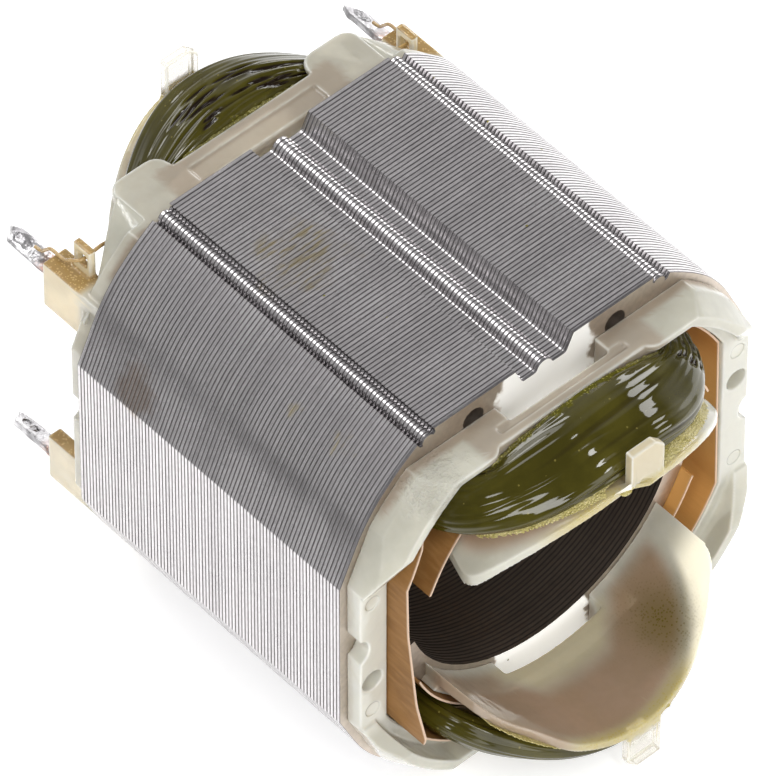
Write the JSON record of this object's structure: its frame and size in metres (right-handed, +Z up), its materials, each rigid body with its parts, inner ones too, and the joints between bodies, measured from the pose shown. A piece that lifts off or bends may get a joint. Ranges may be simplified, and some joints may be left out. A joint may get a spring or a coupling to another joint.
{
  "type": "universal motor stator",
  "caption": "Wound two-pole stator of a small universal motor: laminated steel pack, moulded end insulators, varnished field coils and terminal tags.",
  "frame": {"origin": "on the axis of the armature bore, half way along the lamination stack", "axes": "+Y along the bore axis from the front end to the terminal end, +Z up through the upper pole, +X to the right seen from the front end"},
  "size_m": [0.0552, 0.0715, 0.0516],
  "materials": {
    "steel_sheets": "stacked bare sheet edges",
    "insulator_nylon": "translucent ivory moulding",
    "varnished_winding": "olive varnish over enamelled copper wire",
    "liner_paper": "brown insulating paper",
    "tinned_tag": "tinned and soldered",
    "lead_wire": "enamelled copper"
  },
  "bodies": {
    "root": {"lamination_stack": "steel_sheets", "front_insulator": "insulator_nylon", "rear_insulator": "insulator_nylon", "upper_coil": "varnished_winding", "lower_coil": "varnished_winding", "left_slot_liner": "liner_paper", "right_slot_liner": "liner_paper", "upper_left_tag": "tinned_tag", "upper_right_tag": "tinned_tag", "lower_left_tag": "tinned_tag", "lower_right_tag": "tinned_tag", "upper_left_lead": "lead_wire", "upper_right_lead": "lead_wire", "lower_left_lead": "lead_wire", "lower_right_lead": "lead_wire"}
  },
  "joints": []
}
